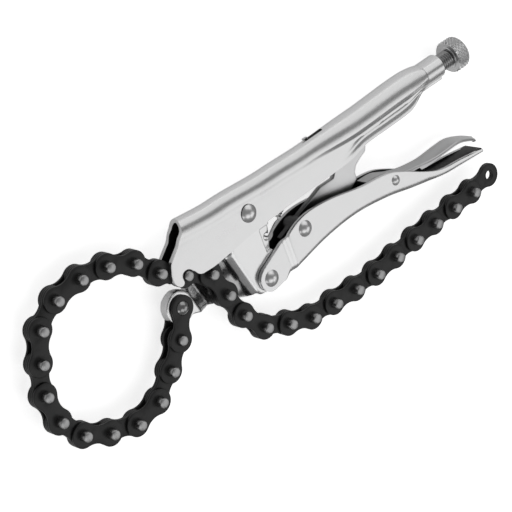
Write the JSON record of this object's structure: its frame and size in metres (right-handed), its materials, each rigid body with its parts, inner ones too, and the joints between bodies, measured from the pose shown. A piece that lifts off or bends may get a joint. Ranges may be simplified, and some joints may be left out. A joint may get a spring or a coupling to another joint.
{
  "type": "chain clamp",
  "caption": "locking hand clamp that wraps a roller chain round a pipe or an odd shape and holds it by over-centre handles, with an adjusting screw and a release lever",
  "frame": {"origin": "middle of the tool's footprint, at the height of its lowest face, the underside of the jaw's bridge", "axes": "X runs along the adjusting screw from the chain loop to the knob, Y runs in the plane of the tool from the lower to the upper handle, Z is square to the plane of the tool, upward as it lies"},
  "size_m": [0.3116, 0.1078, 0.0201],
  "materials": {
    "satin_nickel": "satin nickel plate, very light grey, with soft darker bands along the folds",
    "bright_nickel": "bright nickel plate on a forged and ground jaw",
    "black_oxide": "black oxide on stamped plates, near black with faint light rims",
    "pin_steel": "bright turned steel with a light bevel",
    "chrome_dome": "polished domes",
    "dark_dome": "polished dark dome",
    "screw_steel": "dark grey cut thread",
    "knob_steel": "knurled bright steel",
    "spring_steel": "drawn wire",
    "lever_steel": "satin mid grey plate",
    "link_steel": "satin light grey stamping"
  },
  "bodies": {
    "upper_handle": {"upper_handle": "satin_nickel", "main_rivet": "chrome_dome", "return_spring": "spring_steel"},
    "lower_jaw": {"lower_jaw": "bright_nickel", "anchor_rivet": "dark_dome"},
    "lower_handle": {"lower_handle": "satin_nickel", "heel_rivet": "chrome_dome", "knee_rivet": "chrome_dome", "trigger_rivet": "chrome_dome"},
    "toggle_link": {"toggle_link": "link_steel"},
    "release_lever": {"release_lever": "lever_steel"},
    "adjusting_screw": {"adjusting_screw": "screw_steel"},
    "adjusting_knob": {"adjusting_knob": "knob_steel"},
    "chain_link_01": {"chain_link_01": "black_oxide"},
    "chain_link_02": {"chain_link_02": "black_oxide", "link_pins_02": "pin_steel"},
    "chain_link_03": {"chain_link_03": "black_oxide"},
    "chain_link_04": {"chain_link_04": "black_oxide", "link_pins_04": "pin_steel"},
    "chain_link_05": {"chain_link_05": "black_oxide"},
    "chain_link_06": {"chain_link_06": "black_oxide", "link_pins_06": "pin_steel"},
    "chain_link_07": {"chain_link_07": "black_oxide"},
    "chain_link_08": {"chain_link_08": "black_oxide", "link_pins_08": "pin_steel"},
    "chain_link_09": {"chain_link_09": "black_oxide"},
    "chain_link_10": {"chain_link_10": "black_oxide", "link_pins_10": "pin_steel"},
    "chain_link_11": {"chain_link_11": "black_oxide"},
    "chain_link_12": {"chain_link_12": "black_oxide", "link_pins_12": "pin_steel"},
    "chain_link_13": {"chain_link_13": "black_oxide"},
    "chain_link_14": {"chain_link_14": "black_oxide", "link_pins_14": "pin_steel"},
    "chain_link_15": {"chain_link_15": "black_oxide"},
    "chain_link_16": {"chain_link_16": "black_oxide", "link_pins_16": "pin_steel"},
    "chain_link_17": {"chain_link_17": "black_oxide"},
    "chain_link_18": {"chain_link_18": "black_oxide", "link_pins_18": "pin_steel"},
    "chain_link_19": {"chain_link_19": "black_oxide"},
    "chain_link_20": {"chain_link_20": "black_oxide", "link_pins_20": "pin_steel"},
    "chain_link_21": {"chain_link_21": "black_oxide"},
    "chain_link_22": {"chain_link_22": "black_oxide", "link_pins_22": "pin_steel"},
    "chain_link_23": {"chain_link_23": "black_oxide"},
    "chain_link_24": {"chain_link_24": "black_oxide", "link_pins_24": "pin_steel"},
    "chain_link_25": {"chain_link_25": "black_oxide"},
    "chain_link_26": {"chain_link_26": "black_oxide", "link_pins_26": "pin_steel"},
    "chain_link_27": {"chain_link_27": "black_oxide"},
    "chain_link_28": {"chain_link_28": "black_oxide", "link_pins_28": "pin_steel"},
    "chain_link_29": {"chain_link_29": "black_oxide"},
    "chain_link_30": {"chain_link_30": "black_oxide", "link_pins_30": "pin_steel"},
    "chain_link_31": {"chain_link_31": "black_oxide"}
  },
  "joints": [
    {"name": "jaw_pivot", "type": "hinge", "parent": "upper_handle", "child": "lower_jaw", "pos_m": [-0.01044, 0.027, 0.01035], "axis": [0, 0, 1], "range_deg": [0, 8], "deforming": ["return_spring"]},
    {"name": "handle_pivot", "type": "hinge", "parent": "lower_jaw", "child": "lower_handle", "pos_m": [-0.01084, -0.0106, 0.01035], "axis": [0, 0, 1], "range_deg": [-32.9, 0]},
    {"name": "knee_pivot", "type": "hinge", "parent": "lower_handle", "child": "toggle_link", "pos_m": [0.01716, 0.0027, 0.01035], "axis": [0, 0, 1], "range_deg": [0, 38.76]},
    {"name": "release_pivot", "type": "hinge", "parent": "lower_handle", "child": "release_lever", "pos_m": [0.08156, -0.005, 0.01035], "axis": [0, 0, 1], "range_deg": [-3, 0]},
    {"name": "screw_slide", "type": "slide", "parent": "upper_handle", "child": "adjusting_screw", "axis": [1, 0, 0], "range_m": [-0.0005, 0.006]},
    {"name": "knob_turn", "type": "hinge", "parent": "adjusting_screw", "child": "adjusting_knob", "pos_m": [0.14566, 0.0335, 0.01035], "axis": [1, 0, 0], "range_deg": [-120, 1440]},
    {"name": "chain_hinge_01", "type": "hinge", "parent": "lower_jaw", "child": "chain_link_01", "pos_m": [-0.06444, 0.0041, 0.01035], "axis": [0, 0, 1], "range_deg": [-3.12, 0]},
    {"name": "chain_hinge_02", "type": "hinge", "parent": "chain_link_01", "child": "chain_link_02", "pos_m": [-0.07164, -0.01005, 0.01035], "axis": [0, 0, 1], "range_deg": [-2.73, 0]},
    {"name": "chain_hinge_03", "type": "hinge", "parent": "chain_link_02", "child": "chain_link_03", "pos_m": [-0.08227, -0.02184, 0.01035], "axis": [0, 0, 1], "range_deg": [-1.5, 0]},
    {"name": "chain_hinge_04", "type": "hinge", "parent": "chain_link_03", "child": "chain_link_04", "pos_m": [-0.09443, -0.03205, 0.01035], "axis": [0, 0, 1], "range_deg": [-0.6864, 0]},
    {"name": "chain_hinge_05", "type": "hinge", "parent": "chain_link_04", "child": "chain_link_05", "pos_m": [-0.11001, -0.03508, 0.01035], "axis": [0, 0, 1], "range_deg": [0, 0.808]},
    {"name": "chain_hinge_06", "type": "hinge", "parent": "chain_link_05", "child": "chain_link_06", "pos_m": [-0.12519, -0.03044, 0.01035], "axis": [0, 0, 1], "range_deg": [0, 1.06]},
    {"name": "chain_hinge_07", "type": "hinge", "parent": "chain_link_06", "child": "chain_link_07", "pos_m": [-0.13894, -0.0225, 0.01035], "axis": [0, 0, 1], "range_deg": [0, 0.9936]},
    {"name": "chain_hinge_08", "type": "hinge", "parent": "chain_link_07", "child": "chain_link_08", "pos_m": [-0.14735, -0.00903, 0.01035], "axis": [0, 0, 1], "range_deg": [0, 0.5704]},
    {"name": "chain_hinge_17", "type": "hinge", "parent": "upper_handle", "child": "chain_link_16", "pos_m": [-0.05557, 0.01747, 0.01035], "axis": [0, 0, 1], "range_deg": [0, 1.85]},
    {"name": "chain_hinge_16", "type": "hinge", "parent": "chain_link_16", "child": "chain_link_15", "pos_m": [-0.06873, 0.02635, 0.01035], "axis": [0, 0, 1], "range_deg": [0, 1.95]},
    {"name": "chain_hinge_15", "type": "hinge", "parent": "chain_link_15", "child": "chain_link_14", "pos_m": [-0.07935, 0.03815, 0.01035], "axis": [0, 0, 1], "range_deg": [0, 1.86]},
    {"name": "chain_hinge_14", "type": "hinge", "parent": "chain_link_14", "child": "chain_link_13", "pos_m": [-0.09374, 0.04486, 0.01035], "axis": [0, 0, 1], "range_deg": [0, 1.47]},
    {"name": "chain_hinge_13", "type": "hinge", "parent": "chain_link_13", "child": "chain_link_12", "pos_m": [-0.10942, 0.04734, 0.01035], "axis": [0, 0, 1], "range_deg": [0, 1]},
    {"name": "chain_hinge_12", "type": "hinge", "parent": "chain_link_12", "child": "chain_link_11", "pos_m": [-0.12514, 0.04513, 0.01035], "axis": [0, 0, 1], "range_deg": [-0.3816, 0]},
    {"name": "chain_hinge_11", "type": "hinge", "parent": "chain_link_11", "child": "chain_link_10", "pos_m": [-0.13845, 0.03648, 0.01035], "axis": [0, 0, 1], "range_deg": [-0.5632, 0]},
    {"name": "chain_hinge_10", "type": "hinge", "parent": "chain_link_10", "child": "chain_link_09", "pos_m": [-0.14491, 0.02198, 0.01035], "axis": [0, 0, 1], "range_deg": [-0.4976, 0]},
    {"name": "hook_pivot", "type": "hinge", "parent": "upper_handle", "child": "chain_link_17", "pos_m": [-0.05557, 0.01747, 0.01035], "axis": [0, 0, 1], "range_deg": [-2, 0]},
    {"name": "chain_hinge_18", "type": "hinge", "parent": "chain_link_17", "child": "chain_link_18", "pos_m": [-0.04168, 0.00978, 0.01035], "axis": [0, 0, 1], "range_deg": [-3, 0]},
    {"name": "chain_hinge_19", "type": "hinge", "parent": "chain_link_18", "child": "chain_link_19", "pos_m": [-0.03678, -0.00532, 0.01035], "axis": [0, 0, 1], "range_deg": [-8, 0]},
    {"name": "chain_hinge_20", "type": "hinge", "parent": "chain_link_19", "child": "chain_link_20", "pos_m": [-0.03187, -0.02042, 0.01035], "axis": [0, 0, 1], "range_deg": [-12.8, 0]},
    {"name": "chain_hinge_21", "type": "hinge", "parent": "chain_link_20", "child": "chain_link_21", "pos_m": [-0.02254, -0.03326, 0.01035], "axis": [0, 0, 1], "range_deg": [-12.8, 0]},
    {"name": "chain_hinge_22", "type": "hinge", "parent": "chain_link_21", "child": "chain_link_22", "pos_m": [-0.00816, -0.03997, 0.01035], "axis": [0, 0, 1], "range_deg": [-9.6, 0]},
    {"name": "chain_hinge_23", "type": "hinge", "parent": "chain_link_22", "child": "chain_link_23", "pos_m": [0.00676, -0.0454, 0.01035], "axis": [0, 0, 1], "range_deg": [-14, 0]},
    {"name": "chain_hinge_24", "type": "hinge", "parent": "chain_link_23", "child": "chain_link_24", "pos_m": [0.02262, -0.04623, 0.01035], "axis": [0, 0, 1], "range_deg": [-14, 0]},
    {"name": "chain_hinge_25", "type": "hinge", "parent": "chain_link_24", "child": "chain_link_25", "pos_m": [0.03845, -0.04734, 0.01035], "axis": [0, 0, 1], "range_deg": [-14, 0]},
    {"name": "chain_hinge_26", "type": "hinge", "parent": "chain_link_25", "child": "chain_link_26", "pos_m": [0.05433, -0.04734, 0.01035], "axis": [0, 0, 1], "range_deg": [-14, 0]},
    {"name": "chain_hinge_27", "type": "hinge", "parent": "chain_link_26", "child": "chain_link_27", "pos_m": [0.07014, -0.04596, 0.01035], "axis": [0, 0, 1], "range_deg": [-14, 0]},
    {"name": "chain_hinge_28", "type": "hinge", "parent": "chain_link_27", "child": "chain_link_28", "pos_m": [0.08596, -0.04457, 0.01035], "axis": [0, 0, 1], "range_deg": [-14, 0]},
    {"name": "chain_hinge_29", "type": "hinge", "parent": "chain_link_28", "child": "chain_link_29", "pos_m": [0.10179, -0.04347, 0.01035], "axis": [0, 0, 1], "range_deg": [-14, 1]},
    {"name": "chain_hinge_30", "type": "hinge", "parent": "chain_link_29", "child": "chain_link_30", "pos_m": [0.11765, -0.04263, 0.01035], "axis": [0, 0, 1], "range_deg": [-14, 3]},
    {"name": "chain_hinge_31", "type": "hinge", "parent": "chain_link_30", "child": "chain_link_31", "pos_m": [0.1335, -0.0418, 0.01035], "axis": [0, 0, 1], "range_deg": [-14, 10]}
  ],
  "couplings": [
    {"joint": "handle_pivot", "follows": "jaw_pivot", "ratio": -4.1124},
    {"joint": "knee_pivot", "follows": "jaw_pivot", "ratio": 4.8456},
    {"joint": "knob_turn", "follows": "screw_slide", "rad_per_m": 4188.8},
    {"joint": "chain_hinge_01", "follows": "jaw_pivot", "ratio": -0.3904},
    {"joint": "chain_hinge_02", "follows": "jaw_pivot", "ratio": -0.3415},
    {"joint": "chain_hinge_03", "follows": "jaw_pivot", "ratio": -0.187},
    {"joint": "chain_hinge_04", "follows": "jaw_pivot", "ratio": -0.0858},
    {"joint": "chain_hinge_05", "follows": "jaw_pivot", "ratio": 0.101},
    {"joint": "chain_hinge_06", "follows": "jaw_pivot", "ratio": 0.1325},
    {"joint": "chain_hinge_07", "follows": "jaw_pivot", "ratio": 0.1242},
    {"joint": "chain_hinge_08", "follows": "jaw_pivot", "ratio": 0.0713},
    {"joint": "chain_hinge_17", "follows": "jaw_pivot", "ratio": 0.2311},
    {"joint": "chain_hinge_16", "follows": "jaw_pivot", "ratio": 0.2437},
    {"joint": "chain_hinge_15", "follows": "jaw_pivot", "ratio": 0.2326},
    {"joint": "chain_hinge_14", "follows": "jaw_pivot", "ratio": 0.1837},
    {"joint": "chain_hinge_13", "follows": "jaw_pivot", "ratio": 0.1254},
    {"joint": "chain_hinge_12", "follows": "jaw_pivot", "ratio": -0.0477},
    {"joint": "chain_hinge_11", "follows": "jaw_pivot", "ratio": -0.0704},
    {"joint": "chain_hinge_10", "follows": "jaw_pivot", "ratio": -0.0622},
    {"joint": "chain_hinge_20", "follows": "jaw_pivot", "ratio": -1.6},
    {"joint": "chain_hinge_21", "follows": "jaw_pivot", "ratio": -1.6},
    {"joint": "chain_hinge_22", "follows": "jaw_pivot", "ratio": -1.2}
  ]
}
